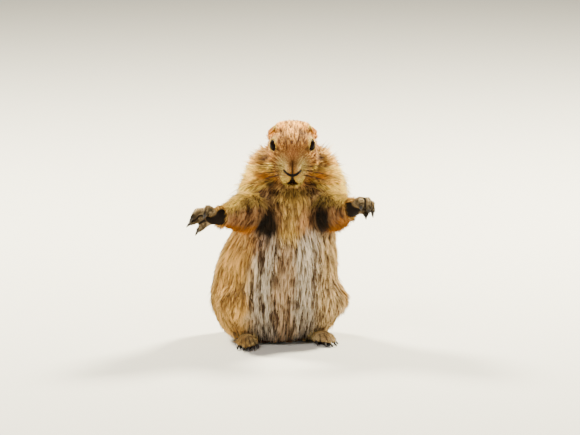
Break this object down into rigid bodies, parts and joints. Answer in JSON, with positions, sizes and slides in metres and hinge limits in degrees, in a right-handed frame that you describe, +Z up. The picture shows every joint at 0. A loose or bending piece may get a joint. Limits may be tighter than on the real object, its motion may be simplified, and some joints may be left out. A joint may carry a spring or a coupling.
{
  "type": "prairie dog",
  "caption": "Black-tailed prairie dog sitting upright on its haunches, arms spread wide and palms turned to the front, as a still life-size model.",
  "frame": {"origin": "middle of the footprint box, on the floor that the feet, seat and tail rest on", "axes": "+Z up through the crown, -Y the way the face looks, +X towards the animal's own left hand"},
  "size_m": [0.1672, 0.212, 0.2009],
  "materials": {
    "coat": "matte fur",
    "pale_coat": "matte fur",
    "face_coat": "short matte fur",
    "paw_skin": "bare skin with short fur",
    "black_brush": "bristly fur",
    "eye": "wet gloss",
    "claw": "polished horn"
  },
  "bodies": {
    "root": {"neck": "coat", "chest": "pale_coat", "belly": "pale_coat", "hips": "coat", "upper_arm_left": "coat", "forearm_left": "coat", "thigh_left": "coat", "shank_left": "coat", "upper_arm_right": "coat", "forearm_right": "coat", "thigh_right": "coat", "shank_right": "coat", "tail_base": "coat", "head": "face_coat", "muzzle": "face_coat", "ear_left": "face_coat", "ear_right": "face_coat", "eye_left": "eye", "hand_left": "paw_skin", "foot_left": "paw_skin", "claw_hand_left_2": "claw", "claw_hand_left_3": "claw", "claw_hand_left_4": "claw", "claw_hand_left_5": "claw", "claw_foot_left_1": "claw", "claw_foot_left_2": "claw", "claw_foot_left_3": "claw", "claw_foot_left_4": "claw", "claw_foot_left_5": "claw", "eye_right": "eye", "hand_right": "paw_skin", "foot_right": "paw_skin", "claw_hand_right_2": "claw", "claw_hand_right_3": "claw", "claw_hand_right_4": "claw", "claw_hand_right_5": "claw", "claw_foot_right_1": "claw", "claw_foot_right_2": "claw", "claw_foot_right_3": "claw", "claw_foot_right_4": "claw", "claw_foot_right_5": "claw", "tail_tip": "black_brush"}
  },
  "joints": []
}
